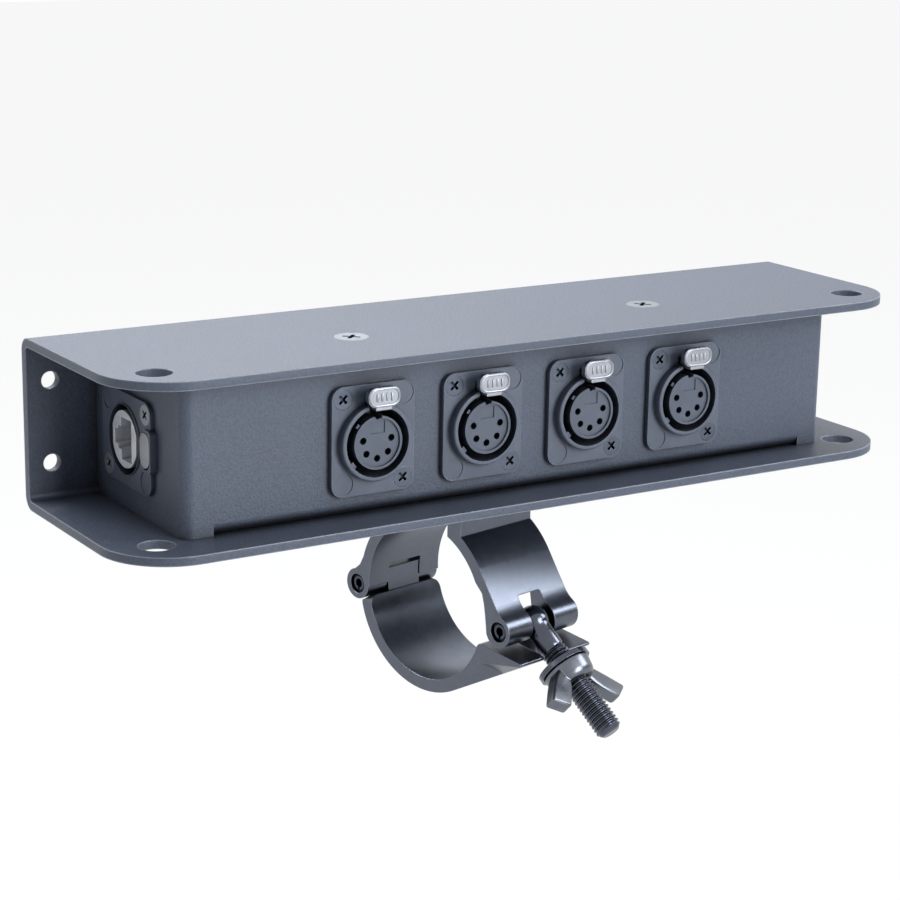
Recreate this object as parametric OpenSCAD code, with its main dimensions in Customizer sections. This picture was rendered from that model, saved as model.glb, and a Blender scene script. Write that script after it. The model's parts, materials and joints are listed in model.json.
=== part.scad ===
// Cable breakout box on a half coupler, for a lighting tube.
// The origin is the middle of the tube seat. X runs along the box, -Y is the side with the
// connectors, and Z is up. The coupler is turned a little about its upright mounting bolt.

/* [Bracket] */
// Length of the bracket along X
bracket_l = 260; // [230:1:300]
// Depth of the bracket, from the back of its wall to the front of its flanges
bracket_d = 70.4; // [68:0.2:90]
// Height of the bracket over both flanges
bracket_h = 49; // [46:0.5:60]
// Thickness of the bracket's sheet
sheet = 2.5; // [2:0.1:3]
// Inner radius of the bracket's bends
bend_r = 1.5; // [1:0.1:2.5]
// Radius of the big front corners of the flanges
corner_r = 20; // [14:1:24]
// Distance of each corner hole from the end and from the front edge
corner_hole_in = 13.2; // [11:0.2:16]
// Diameter of the corner holes
corner_hole_d = 9.9; // [8:0.1:12]
// Distance of the wall holes from the ends of the wall
wall_hole_in = 7; // [5.5:0.5:12]
// Distance between the two wall holes at one end
wall_hole_pitch = 23.6; // [18:0.2:28]
// Diameter of the wall holes
wall_hole_d = 5; // [4:0.1:6]

/* [Connector box] */
// Length of the connector box along X
box_l = 218.5; // [205:0.5:226]
// Distance of the front panel behind the front edge of the flanges
box_set_back = 13.1; // [12:0.1:16]
// Thickness of the connector box's sheet
box_sheet = 1.5; // [1.2:0.1:2]
// Outer radius of the connector box's upright bends
box_bend_r = 3.5; // [2.5:0.1:4.5]
// Depth of the lips that lie on the flanges
lip_d = 22; // [20:0.5:24]
// Distance of each lip end from the end of the box
lip_in = 9; // [8:0.5:14]
// Distance between the two cover screws on one flange
cover_screw_pitch = 100; // [86:1:110]
// Distance of the cover screws behind the front edge of the flanges
cover_screw_back = 28.2; // [26:0.2:31]
// Thread diameter of the cover screws
cover_screw_d = 5; // [4:0.5:5]
// Head diameter of the cover screws
cover_head_d = 9.6; // [8.5:0.1:10]
// Length of the cover screws
cover_screw_l = 9; // [8:0.5:11]
// Outer diameter of the press nuts
press_nut_d = 9; // [8:0.2:11]
// Height of the press nuts
press_nut_h = 4.5; // [3:0.5:5]

/* [Connectors] */
// Number of five-pin connectors in the front panel
outlets = 4; // [4:1:4]
// Distance between neighbouring five-pin connectors
outlet_pitch = 35.5; // [34:0.5:40]
// Offset of the row of connectors from the middle of the box
outlet_shift = 0.8; // [0:0.1:2]
// Distance of the five-pin connectors' middle below the middle of the bracket
outlet_down = 1.1; // [0:0.1:1.5]
// Width of a connector's flange
flange_w = 26; // [25.5:0.1:26.5]
// Height of a connector's flange
flange_h = 31; // [30.5:0.1:31.5]
// Thickness of a connector's flange
flange_t = 1.7; // [1.4:0.1:2]
// Corner radius of a connector's flange
flange_r = 3.6; // [2.5:0.1:4]
// Height of a flange's middle over the connector's middle
flange_lift = 0.5; // [0:0.1:1]
// Distance between a connector's screws across it
screw_x = 19; // [18.5:0.1:19.5]
// Distance between a connector's screws along it
screw_z = 24; // [23.5:0.1:24.5]
// Thread diameter of a connector's screws
small_screw_d = 3; // [2.5:0.1:3]
// Head diameter of a connector's screws
small_head_d = 5.8; // [5:0.1:6]
// Length of a connector's screws
small_screw_l = 8; // [6:0.5:10]
// Outer diameter of a connector's raised ring
ring_d = 22; // [21.6:0.1:22.4]
// Inner diameter of a connector's raised ring
ring_bore = 19.6; // [19.2:0.1:19.8]
// How far the raised ring stands out of the flange
ring_out = 2.6; // [2:0.1:3]
// Diameter of a connector's barrel behind the panel
barrel_d = 23.6; // [23:0.1:23.8]
// Depth of a connector's barrel behind the panel
barrel_l = 19; // [17:0.5:21]
// Diameter of a five-pin insert
insert_d = 15.1; // [14.8:0.1:15.3]
// How far a five-pin insert stands out of its ring
insert_out = 0.2; // [0:0.1:0.6]
// Thickness of the web at the back of an insert
web_t = 3; // [2.5:0.1:4]
// Radius of the circle of contacts
contact_circle_r = 4.5; // [4:0.1:4.6]
// Outer diameter of a contact
contact_d = 1.9; // [1.7:0.05:2]
// Bore of a contact
contact_bore = 1.2; // [1:0.05:1.3]
// Length of the solder cups behind an insert
cup_l = 3.5; // [2.5:0.5:5]

/* [Latches] */
// Width of a push tab
tab_w = 9.9; // [9:0.1:11]
// Height of a push tab
tab_h = 5.4; // [5:0.1:6]
// Thickness of a push tab
tab_t = 1.8; // [1.4:0.1:2.2]
// Height of a push tab's middle over the connector's middle
tab_up = 13.5; // [13.2:0.1:13.6]
// How far a push tab goes in
tab_travel = 1; // [0.6:0.1:1.2]
// Width of a latch blade
blade_w = 4.8; // [4:0.1:5]
// Thickness of a latch blade
blade_t = 1.6; // [1.5:0.1:1.7]
// Height of a latch blade's underside over the connector's middle
blade_up = 9.8; // [9.7:0.1:9.9]
// Length of a latch blade behind the panel
blade_l = 11; // [9:0.5:12]
// Diameter of a latch's guide pin
latch_pin_d = 0.9; // [0.8:0.1:1]
// Distance of a latch's guide pin behind the panel's front face
latch_pin_back = 4.2; // [3.8:0.1:5]

/* [Data port] */
// Distance of the data port behind the front panel
port_back = 32.8; // [31:0.2:33.2]
// Distance of the port's middle below the middle of the bracket
port_down = 1.5; // [0:0.1:1.8]
// Thickness of the port's flange
port_flange_t = 1.2; // [1:0.1:1.4]
// Outer diameter of the port's ring
port_ring_d = 20; // [19.8:0.1:20.2]
// How far the port's ring stands out of its flange
port_ring_out = 0.6; // [0.4:0.1:0.8]
// Width of the port's push tab
port_tab_w = 9.7; // [9:0.1:10]
// Height of the port's push tab
port_tab_h = 5.6; // [5:0.1:6]
// Thickness of the port's push tab
port_tab_t = 1; // [0.8:0.1:1]
// Height of the port's push tab over the port's middle
port_tab_up = 13.6; // [13.5:0.1:13.7]
// How far the port's push tab goes in
port_travel = 0.6; // [0.4:0.1:0.6]
// Thickness of the guard round the port's push tab
guard_wall = 0.8; // [0.6:0.1:1]
// How far the guard stands past the flange's edge
guard_over = 1.6; // [1.2:0.1:2]
// How far the guard stands out of the flange
guard_out = 0.9; // [0.6:0.1:1.4]
// Width of the jack's carrier, along its contacts
carrier_w = 16; // [15.6:0.1:16.4]
// Height of the jack's carrier
carrier_h = 15; // [14.4:0.1:15.4]
// Width of the jack's opening
jack_w = 12; // [11.7:0.1:12.4]
// Height of the jack's opening
jack_h = 6.8; // [6.6:0.1:7]
// Width of the wide step of the keyway
key_wide = 6.4; // [6:0.1:7]
// Width of the narrow step of the keyway
key_narrow = 4.2; // [4.1:0.1:4.6]
// Height of each step of the keyway
key_step = 2; // [1.6:0.1:2.1]
// Depth of the jack's opening
jack_deep = 14; // [12:0.5:15]
// Thickness of the circuit board
board_t = 1.6; // [1:0.1:2]
// Height of the circuit board
board_h = 28; // [24:1:34]
// Depth of the terminal block
block_d = 8; // [6:0.5:12]
// Height of the terminal block
block_h = 12; // [10:0.5:16]

/* [Internal cables] */
// Diameter of an internal cable
cable_d = 4.4; // [3.5:0.1:4.8]
// Distance between neighbouring cables along the back
cable_pitch = 5.35; // [5.2:0.05:5.4]
// Radius of a cable's bend, at its middle
cable_bend_r = 8.5; // [7:0.5:9]
// Diameter of a wire inside a cable
wire_d = 1.1; // [0.8:0.1:1.2]
// Length of the bare wires between a cable's end and the solder cups
wire_l = 3.5; // [3:0.1:4]

/* [Half coupler] */
// Angle of the coupler about its upright bolt
swivel = 12.4; // [0:0.1:25]
// Width of the coupler along the tube
coupler_w = 29.5; // [28:0.5:32]
// Radius of the tube seat
seat_r = 24.3; // [24.1:0.1:24.5]
// Height of the bracket's underside over the middle of the tube seat
seat_up = 39; // [38.6:0.1:42]
// Distance of the mounting bolt in front of the back of the wall
bolt_in = 21.6; // [21:0.2:24]
// Depth of the saddle's square block, across the tube
block_w = 30.4; // [29:0.2:32]
// Thickness of the saddle's arms
arm_wall = 3.7; // [3.4:0.1:4.2]
// Distance of both pins below the middle of the tube seat
pin_down = 1.8; // [1.6:0.1:2]
// Distance of the rear pin behind the middle of the tube seat
rear_pin_out = 29.6; // [29.5:0.1:29.9]
// Distance of the front pin in front of the middle of the tube seat
front_pin_out = 31.4; // [31.3:0.1:31.8]
// Outer radius of the pin bosses
boss_r = 4.8; // [4.6:0.1:5]
// Distance of the front boss's middle behind its pin
boss_in = 0.3; // [0.1:0.1:0.5]
// Angle over level at which the front arm leaves its round to run straight down
arm_turn = 34; // [30:1:38]
// Radius of the hollow between the front arm and its boss
arm_hollow = 10.5; // [8:0.5:13]
// Diameter of the rolled pins
pin_d = 4.4; // [4:0.1:4.6]
// Wall of the rolled pins
pin_wall = 0.8; // [0.6:0.1:1]
// Diameter of the wide mouth of each pin hole
pin_mouth_d = 6.2; // [5.8:0.1:6.6]
// Depth of the wide mouth of each pin hole
pin_mouth = 1.6; // [1:0.1:2]
// Width of the gap for the jaw's knuckle
knuckle_gap = 13.4; // [12:0.1:15]
// Side clearance of the jaw's knuckle and of the bolt's eye
side_gap = 0.3; // [0.25:0.05:0.5]
// Width of the slot for the swing bolt
bolt_slot = 9.4; // [9.2:0.1:9.8]
// Thickness of the jaw
jaw_wall = 4; // [3.6:0.1:4.2]
// Distance of the lug's tip in front of the middle of the tube seat
lug_out = 40.8; // [40.4:0.1:40.9]
// Depth of the lug's tip under the middle of the tube seat
lug_down = 9.2; // [9.1:0.1:9.4]
// Slope of the lug's underside
lug_slope = 28.5; // [28:0.1:29]

/* [Swing bolt] */
// Angle of the swing bolt at rest, forward of straight down
bolt_lean = 51.6; // [51:0.1:58]
// Thread diameter of the swing bolt
bolt_d = 8; // [8:0.1:8.2]
// Pitch of the swing bolt's thread
thread_pitch = 1.25; // [1:0.05:1.5]
// Length of the swing bolt from the pin to its tip
bolt_l = 41; // [40:0.5:50]
// Distance from the pin to the start of the thread
thread_start = 10.5; // [10:0.1:12]
// Radius of the bolt's round eye
eye_r = 4.9; // [4.7:0.1:5]
// Distance from the pin to the near face of the washer
washer_at = 15.8; // [15.7:0.1:18]
// Diameter of the washer
washer_d = 16.6; // [15.6:0.1:16.8]
// Thickness of the washer
washer_t = 1.6; // [1.4:0.1:1.8]
// Base diameter of the wing nut's hub
hub_d = 15; // [14.6:0.2:15.6]
// Height of the wing nut's hub
hub_h = 5.8; // [5.4:0.1:7]
// Distance of the wing tips from the bolt's middle line
wing_r = 19.2; // [18:0.2:20]
// Height of the wing tips over the nut's base
wing_h = 13.8; // [13:0.2:15]
// Thickness of the wings
wing_t = 4; // [3.6:0.1:4.4]
// Angle of the wings about the bolt at rest
wing_turn = -12.6; // [-30:0.2:30]

/* [Mounting bolt] */
// Thread diameter of the mounting bolt
mount_d = 12; // [11.8:0.1:12]
// Width across flats of the mounting bolt's head and nut
mount_flats = 19; // [18:0.1:19.4]
// Height of the mounting bolt's head
mount_head_h = 7.5; // [6.5:0.1:8]
// Height of the mounting nut
mount_nut_h = 9; // [8:0.1:10]
// How far the mounting bolt stands above its nut
mount_over = 1.5; // [1:0.1:2]
// Diameter of the flat washer under the mounting nut
mount_washer_d = 23; // [21:0.5:24]

/* [Hidden] */
$fn = 96;

// Overlap that lets a cut run clear through a face
cut = 1;
// Radial clearance of a screw in its hole
screw_clear = 0.1;
// Radial clearance of a part that turns on a pin
run_clear = 0.06;
// Radial clearance of a pin in the holes that grip it
grip_clear = 0.02;
// Clearance between fitted parts that don't move
fit_clear = 0.05;
// Clearance between parts that move past one another
move_clear = 0.35;
// How much larger a corner's radius is than the bend that it lies in
corner_clear = 0.3;

mid_h = bracket_h / 2;
outlet_z = mid_h - outlet_down;
port_z = mid_h - port_down;
panel_y = -bracket_d + box_set_back;
box_h = bracket_h - 2 * sheet;
cover_screw_y = -bracket_d + cover_screw_back;
panel_hole_d = barrel_d + 0.4;
nut_tap_d = cover_screw_d + 2 * screw_clear;
nut_neck_d = press_nut_d - 2;
ring_front = flange_t + ring_out;
insert_front = ring_front + insert_out;
port_ring_front = port_flange_t + port_ring_out;
disc_d = 6.4;
disc_deep = 0.25;
blade_slot = blade_w + 2 * move_clear;
tab_back = ring_front + tab_travel + 0.6;
tab_nose = tab_back + tab_t - 0.3;
port_tab_back = port_travel + 0.4;
tab_notch = port_tab_back - 0.1;
port_nose = tab_notch - move_clear;
latch_pin_z = blade_up + blade_t / 2;
latch_pin_l = blade_slot + 3.2;
tooth_l = 1.8;
tooth_down = 1.6;
near_pins = 49;
far_pins = 101;
contact_angles = [-90, -90 - near_pins, -90 + near_pins, -90 - far_pins, -90 + far_pins];
contact_in = 2.8;
face_in = 0.6;
lug_in = 0.6;
pocket_w = 4.7;
pocket_h = 3.4;
pocket_up = 2.5;
pocket_in = 0.3;
cup_end = barrel_l + cup_l;
jack_front = port_ring_front - 0.2;
jack_lift = 1.2;
pin_step = 1.02;
board_x = -box_l / 2 + barrel_l + fit_clear;
block_x = board_x + board_t;
cable_x = block_x + block_d;
last_lane = -sheet - cable_d / 2 - 0.6;
first_lane = last_lane - (outlets - 1) * cable_pitch;
jaw_r = seat_r + jaw_wall;
knuckle_top = boss_r - pin_down - 0.2;
arm_r = seat_r + arm_wall;
pin_l = coupler_w - 1.2;
lug_slot = 9.2;
lug_mouth = 11.4;
lug_slot_in = 28.3;
head_under = seat_r + 0.3;
head_top = head_under + mount_head_h;
mount_pitch = 1.75;
lock_t = 2.6;
flat_t = 2.2;
nut_under = seat_up + sheet + flat_t + lock_t;
bolt_top = nut_under + mount_nut_h + mount_over;
thread_deep = 0.6;
nut_base = washer_at + washer_t;

// Moves a piece from the bracket's own corner, under the back of its wall, to the tube seat
module in_bracket() {
    translate([0, bolt_in, seat_up]) children();
}

// Turns a piece of the coupler about the upright mounting bolt
module in_coupler() {
    rotate([0, 0, swivel]) children();
}

// Extrudes an outline in Y and Z along X, with its middle on X = 0
module along_x(l) {
    rotate([90, 0, 90]) linear_extrude(l, center = true) children();
}

// A rectangle with its two far corners rounded
module two_round(w, d, r) {
    translate([-w / 2, 0]) square([w, d - r]);
    translate([-w / 2 + r, 0]) square([w - 2 * r, d]);
    for (s = [-1, 1]) translate([s * (w / 2 - r), d - r]) circle(r);
}

// A rectangle with four round corners, with its middle on the origin
module four_round(w, h, r) {
    square([w - 2 * r, h], center = true);
    square([w, h - 2 * r], center = true);
    for (x = [-1, 1]) for (y = [-1, 1]) translate([x * (w / 2 - r), y * (h / 2 - r)]) circle(r);
}

// A cross recess for a screwdriver, cut downward from Z = 0
module cross_recess(span, wide, deep) {
    for (a = [45, 135]) {
        rotate([0, 0, a]) translate([0, 0, -deep / 2 + cut / 2]) cube([span, wide, deep + cut], center = true);
    }
}

// A countersunk screw that points down, with the top of its head on Z = 0
module sunk_screw(d, head, l) {
    head_h = (head - d) / 2;
    difference() {
        union() {
            translate([0, 0, -0.3]) cylinder(h = 0.3, d = head);
            translate([0, 0, -0.3 - head_h]) cylinder(h = head_h, d1 = d, d2 = head);
            translate([0, 0, -l]) cylinder(h = l - 0.3, d = d);
        }
        cross_recess(head * 0.54, head * 0.13, head * 0.19);
    }
}

// The hole that a countersunk screw seats in, with its mouth on Z = 0
module sunk_hole(d, head, deep) {
    head_h = (head - d) / 2;
    translate([0, 0, -0.3 - fit_clear]) cylinder(h = 0.3 + fit_clear + cut, d = head + 2 * fit_clear);
    translate([0, 0, -0.3 - fit_clear - head_h]) cylinder(h = head_h, d1 = d, d2 = head + 2 * fit_clear);
    translate([0, 0, -deep - cut]) cylinder(h = deep + cut, d = d + 2 * screw_clear);
}

// The bracket's C outline, back at Y = 0
module channel_outline(inset, r) {
    h = bracket_h - 2 * inset;
    translate([-bracket_d - cut, inset]) square([bracket_d + cut - inset - r, h]);
    translate([-inset - r, inset + r]) square([r, h - 2 * r]);
    for (z = [inset + r, inset + h - r]) translate([-inset - r, z]) circle(r);
}

module cover_screw_places() {
    for (s = [-1, 1]) translate([s * cover_screw_pitch / 2, cover_screw_y, 0]) children();
}

module channel_bracket() {
    color([0.16, 0.18, 0.22])
    in_bracket()
    difference() {
        intersection() {
            along_x(bracket_l) difference() {
                channel_outline(0, bend_r + sheet);
                channel_outline(sheet, bend_r);
            }
            mirror([0, 1, 0]) translate([0, 0, -cut]) linear_extrude(bracket_h + 2 * cut)
                two_round(bracket_l, bracket_d, corner_r);
        }
        for (s = [-1, 1]) {
            translate([s * (bracket_l / 2 - corner_hole_in), -bracket_d + corner_hole_in, -cut])
                cylinder(h = bracket_h + 2 * cut, d = corner_hole_d);
            for (z = [-1, 1]) {
                translate([s * (bracket_l / 2 - wall_hole_in), cut, mid_h + z * wall_hole_pitch / 2])
                    rotate([90, 0, 0]) cylinder(h = sheet + 2 * cut, d = wall_hole_d);
            }
        }
        cover_screw_places() translate([0, 0, bracket_h]) sunk_hole(cover_screw_d, cover_head_d, sheet);
        cover_screw_places() mirror([0, 0, 1]) sunk_hole(cover_screw_d, cover_head_d, sheet);
        translate([0, -bolt_in, -cut]) cylinder(h = sheet + 2 * cut, d = mount_d + 4 * screw_clear);
    }
}

// Moves a connector part to one of the places in the front panel
module at_outlet(n) {
    in_bracket() translate([(n - (outlets + 1) / 2) * outlet_pitch + outlet_shift, panel_y, outlet_z])
        children();
}

// Moves a connector part to the left end panel, with its tab towards the front
module at_port() {
    in_bracket() translate([-box_l / 2, panel_y + port_back, port_z]) rotate([0, 90, -90]) children();
}

// The holes that a connector needs in its panel, and its two screw holes, under a flange t thick
module panel_cut(t) {
    translate([0, box_sheet + cut, 0]) rotate([90, 0, 0]) cylinder(h = box_sheet + 2 * cut, d = panel_hole_d);
    flange_corners(1, t) sunk_hole(small_screw_d, small_head_d, t + box_sheet);
}

// Outline of the connector box in plan: the front panel and both ends, with rounded bends
module box_plan(inset, r) {
    w = box_l - 2 * inset;
    d = bracket_d - box_set_back - sheet - fit_clear;
    mirror([0, 1]) translate([0, sheet + fit_clear - (inset > 0 ? cut : 0)])
        two_round(w, d - inset + (inset > 0 ? cut : 0), r);
}

// A lip with the bend that joins it to the front panel
module lip() {
    w = box_l - 2 * lip_in;
    rotate([90, 0, 90]) linear_extrude(w, center = true) difference() {
        union() {
            translate([panel_y + box_bend_r, 0]) square([lip_d - box_bend_r, box_sheet]);
            intersection() {
                translate([panel_y + box_bend_r, box_bend_r]) circle(box_bend_r);
                translate([panel_y, 0]) square(box_bend_r);
            }
        }
        translate([panel_y + box_bend_r, box_bend_r]) circle(box_bend_r - box_sheet);
    }
}

module connector_box() {
    color([0.2, 0.22, 0.26])
    difference() {
        in_bracket() difference() {
            union() {
                difference() {
                    intersection() {
                        translate([0, 0, sheet]) linear_extrude(box_h) difference() {
                            box_plan(0, box_bend_r);
                            box_plan(box_sheet, box_bend_r - box_sheet);
                        }
                        along_x(box_l + cut) channel_outline(sheet, bend_r + corner_clear);
                    }
                    for (z = [sheet - cut, sheet + box_h - box_bend_r]) {
                        translate([-box_l / 2 + lip_in, panel_y - cut, z])
                            cube([box_l - 2 * lip_in, box_bend_r + cut, box_bend_r + cut]);
                    }
                }
                translate([0, 0, sheet]) lip();
                translate([0, 0, sheet + box_h]) mirror([0, 0, 1]) lip();
            }
            cover_screw_places() translate([0, 0, -cut]) cylinder(h = bracket_h + 2 * cut, d = nut_neck_d);
        }
        for (n = [1:outlets]) at_outlet(n) panel_cut(flange_t);
        at_port() panel_cut(port_flange_t);
    }
}

module cover_screws_top() {
    color([0.75, 0.77, 0.8])
    in_bracket() cover_screw_places() translate([0, 0, bracket_h])
        sunk_screw(cover_screw_d, cover_head_d, cover_screw_l);
}

module cover_screws_bottom() {
    color([0.75, 0.77, 0.8])
    in_bracket() cover_screw_places() mirror([0, 0, 1]) sunk_screw(cover_screw_d, cover_head_d, cover_screw_l);
}

// A press nut that stands up from Z = 0, with its shoulder in the lip below
module press_nut() {
    difference() {
        union() {
            cylinder(h = press_nut_h, d = press_nut_d);
            translate([0, 0, -box_sheet]) cylinder(h = box_sheet + cut, d = nut_neck_d - 2 * fit_clear);
        }
        translate([0, 0, -box_sheet - cut]) cylinder(h = box_sheet + press_nut_h + 2 * cut, d = nut_tap_d);
    }
}

module press_nuts() {
    color([0.7, 0.7, 0.68])
    in_bracket() cover_screw_places() {
        translate([0, 0, sheet + box_sheet]) press_nut();
        translate([0, 0, bracket_h - sheet - box_sheet]) mirror([0, 0, 1]) press_nut();
    }
}

// Places in a connector's flange: its two screws, or its two bare discs
module flange_corners(side, t) {
    for (s = [-1, 1]) translate([-s * side * screw_x / 2, -t, s * screw_z / 2 + flange_lift]) rotate([90, 0, 0])
        children();
}

// The slot that the latch blade works in, through the barrel and out to the given front
module blade_way(front) {
    translate([-blade_slot / 2, -front, insert_d / 2 + 0.2])
        cube([blade_slot, front + barrel_l - web_t - fit_clear, barrel_d / 2 - insert_d / 2 + cut]);
}

// A flanged shell with its ring and barrel. Y = 0 is the panel's front face
module shell(t, out_d, front, slot_front) {
    round = 0.3 + (front - t) / 10;
    difference() {
        union() {
            translate([0, 0, flange_lift]) rotate([90, 0, 0]) linear_extrude(t)
                four_round(flange_w, flange_h, flange_r);
            translate([0, barrel_l, 0]) rotate([90, 0, 0]) cylinder(h = barrel_l + t / 2, d = barrel_d);
            rotate([90, 0, 0]) rotate_extrude() {
                translate([0, t / 2]) square([out_d / 2, front - t / 2 - round]);
                translate([0, t / 2]) square([out_d / 2 - round, front - t / 2]);
                translate([out_d / 2 - round, front - round]) circle(round);
            }
        }
        translate([0, barrel_l + cut, 0]) rotate([90, 0, 0])
            cylinder(h = barrel_l + front + 2 * cut, d = ring_bore);
        flange_corners(1, t) sunk_hole(small_screw_d, small_head_d, t);
        flange_corners(-1, t) translate([0, 0, -disc_deep]) cylinder(h = disc_deep + cut, d = disc_d);
        blade_way(slot_front);
        translate([-latch_pin_l / 2, latch_pin_back, latch_pin_z]) rotate([0, 90, 0])
            cylinder(h = latch_pin_l, d = latch_pin_d + 2 * grip_clear);
    }
}

module outlet_shell(n) {
    color([0.1, 0.11, 0.13]) at_outlet(n) {
        shell(flange_t, ring_d, ring_front, ring_front + cut);
        rotate([0, -38, 0]) translate([-ring_bore / 2 - 0.4, lug_in - ring_front, -0.9]) cube([1.4, 5, 1.8]);
    }
}

// The round insert with five contact holes and a web that closes the barrel behind
module outlet_insert(n) {
    front = insert_front;
    color([0.14, 0.15, 0.18]) at_outlet(n)
    difference() {
        union() {
            translate([0, barrel_l - web_t, 0]) rotate([90, 0, 0])
                cylinder(h = barrel_l - web_t + front, d = insert_d);
            translate([0, barrel_l, 0]) rotate([90, 0, 0]) cylinder(h = web_t, d = ring_bore - 2 * fit_clear);
            rotate([0, -140, 0]) translate([insert_d / 2 - 0.5, lug_in - front, -0.6]) cube([1.3, 5, 1.2]);
        }
        translate([0, -front + face_in, 0]) rotate([90, 0, 0]) cylinder(h = cut + face_in, d = insert_d - 1.4);
        translate([-pocket_w / 2, -front, pocket_up]) cube([pocket_w, face_in + pocket_in, pocket_h]);
        translate([0, -front + 6, insert_d / 2]) rotate([90, 0, 0]) cylinder(h = 6 + cut, d = 2.2);
        for (a = contact_angles) rotate([0, -a, 0]) translate([contact_circle_r, barrel_l + cut, 0])
            rotate([90, 0, 0]) cylinder(h = barrel_l + front + 2 * cut, d = contact_d + 2 * fit_clear);
    }
}

module outlet_contacts(n) {
    front = insert_front - contact_in;
    color([0.75, 0.62, 0.3]) at_outlet(n)
    for (a = contact_angles) rotate([0, -a, 0]) translate([contact_circle_r, 0, 0]) difference() {
        translate([0, cup_end, 0]) rotate([90, 0, 0]) cylinder(h = cup_end + front, d = contact_d);
        translate([0, 6, 0]) rotate([90, 0, 0]) cylinder(h = 6 + front + cut, d = contact_bore);
        translate([0, cup_end + cut, 0]) rotate([90, 0, 0]) cylinder(h = 2 + cut, d = wire_d + 2 * fit_clear);
    }
}

// The push tab with its blade, its tooth and the slot that slides along its guide pin.
// The blade's nose lies at the given distance in front of the panel
module latch(w, h, t, up, back, travel, nose) {
    slot_h = latch_pin_d + 2 * run_clear;
    difference() {
        union() {
            translate([0, -back, up]) rotate([90, 0, 0]) linear_extrude(t) four_round(w, h, h / 2 - 0.3);
            translate([-blade_w / 2, -back - t / 2, max(blade_up, up - h / 2)])
                cube([blade_w, back + t / 2, blade_up + blade_t - max(blade_up, up - h / 2)]);
            translate([-blade_w / 2, -nose, blade_up]) cube([blade_w, nose + blade_l, blade_t]);
            translate([-blade_w / 2, blade_l - tooth_l, blade_up - tooth_down])
                cube([blade_w, tooth_l, tooth_down + blade_t / 2]);
        }
        for (y = [-move_clear - travel, move_clear]) {
            translate([-blade_w, latch_pin_back + y, latch_pin_z]) rotate([0, 90, 0])
                cylinder(h = 2 * blade_w, d = slot_h);
        }
        translate([-blade_w, latch_pin_back - move_clear - travel, latch_pin_z - slot_h / 2])
            cube([2 * blade_w, travel + 2 * move_clear, slot_h]);
    }
}

module latch_pin() {
    translate([-latch_pin_l / 2, latch_pin_back, latch_pin_z]) rotate([0, 90, 0])
        cylinder(h = latch_pin_l, d = latch_pin_d);
}

module connector_screws(t) {
    flange_corners(1, t) sunk_screw(small_screw_d, small_head_d, small_screw_l);
}

module outlet_latch(n) {
    color([0.85, 0.86, 0.88]) at_outlet(n) latch(tab_w, tab_h, tab_t, tab_up, tab_back, tab_travel, tab_nose);
}

module outlet_latch_pin(n) {
    color([0.6, 0.6, 0.62]) at_outlet(n) latch_pin();
}

module outlet_screws(n) {
    color([0.3, 0.31, 0.34]) at_outlet(n) connector_screws(flange_t);
}

// One internal cable: from the terminal block along the back, then forward to its connector
module outlet_cable(n) {
    x_end = (n - (outlets + 1) / 2) * outlet_pitch + outlet_shift;
    y_lane = first_lane + (n - 1) * cable_pitch;
    y_end = panel_y + cup_end + wire_l;
    inner_r = 1.3;
    stub = 0.6;
    lean = atan2(contact_circle_r - inner_r, wire_l - stub);
    color([0.12, 0.12, 0.13]) in_bracket() {
        translate([cable_x, y_lane, outlet_z]) rotate([0, 90, 0])
            cylinder(h = x_end - cable_bend_r - cable_x, d = cable_d);
        translate([x_end - cable_bend_r, y_lane - cable_bend_r, outlet_z])
            rotate_extrude(angle = 90) translate([cable_bend_r, 0]) circle(d = cable_d);
        translate([x_end, y_lane - cable_bend_r, outlet_z]) rotate([90, 0, 0])
            cylinder(h = y_lane - cable_bend_r - y_end, d = cable_d);
        translate([x_end - cable_bend_r - cut, y_lane, outlet_z]) rotate([0, 90, 0])
            cylinder(h = 2 * cut, d = cable_d - 0.6);
        translate([x_end, y_lane - cable_bend_r + cut, outlet_z]) rotate([90, 0, 0])
            cylinder(h = 2 * cut, d = cable_d - 0.6);
        for (a = contact_angles) translate([x_end, panel_y + cup_end, outlet_z]) rotate([0, -a, 0]) {
            translate([contact_circle_r, stub, 0]) rotate([90, 0, 0]) cylinder(h = stub + 1.8, d = wire_d);
            translate([contact_circle_r, stub, 0]) sphere(d = wire_d);
            translate([contact_circle_r, stub, 0]) rotate([0, 0, lean]) rotate([-90, 0, 0])
                cylinder(h = norm([contact_circle_r - inner_r, wire_l - stub]) + 0.3, d = wire_d);
        }
    }
}

// A rectangle between two heights, with round corners, for the port's guard and its window
module guard_outline(w, low, high, r) {
    translate([0, (low + high) / 2]) four_round(w, high - low, r);
}

module port_shell() {
    top = flange_h / 2 + flange_lift + guard_over;
    low = port_tab_up - port_tab_h / 2 - move_clear;
    window_w = port_tab_w + 2 * move_clear;
    color([0.1, 0.11, 0.13]) at_port() difference() {
        union() {
            shell(port_flange_t, port_ring_d, port_ring_front, tab_notch);
            rotate([90, 0, 0]) linear_extrude(port_flange_t + guard_out)
                guard_outline(window_w + 2 * guard_wall, low + 2.4, top, 1.4);
        }
        translate([0, cut, 0]) rotate([90, 0, 0]) linear_extrude(port_flange_t + guard_out + 2 * cut)
            guard_outline(window_w, low, top - guard_wall, 2.4);
    }
}

// Outline of the jack's opening: a wide slot for the plug and two steps for its catch
module jack_opening() {
    square([jack_w, jack_h], center = true);
    translate([-key_wide / 2, -jack_h / 2 - key_step]) square([key_wide, key_step + 1]);
    translate([-key_narrow / 2, -jack_h / 2 - 2 * key_step]) square([key_narrow, key_step + 1]);
}

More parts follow.
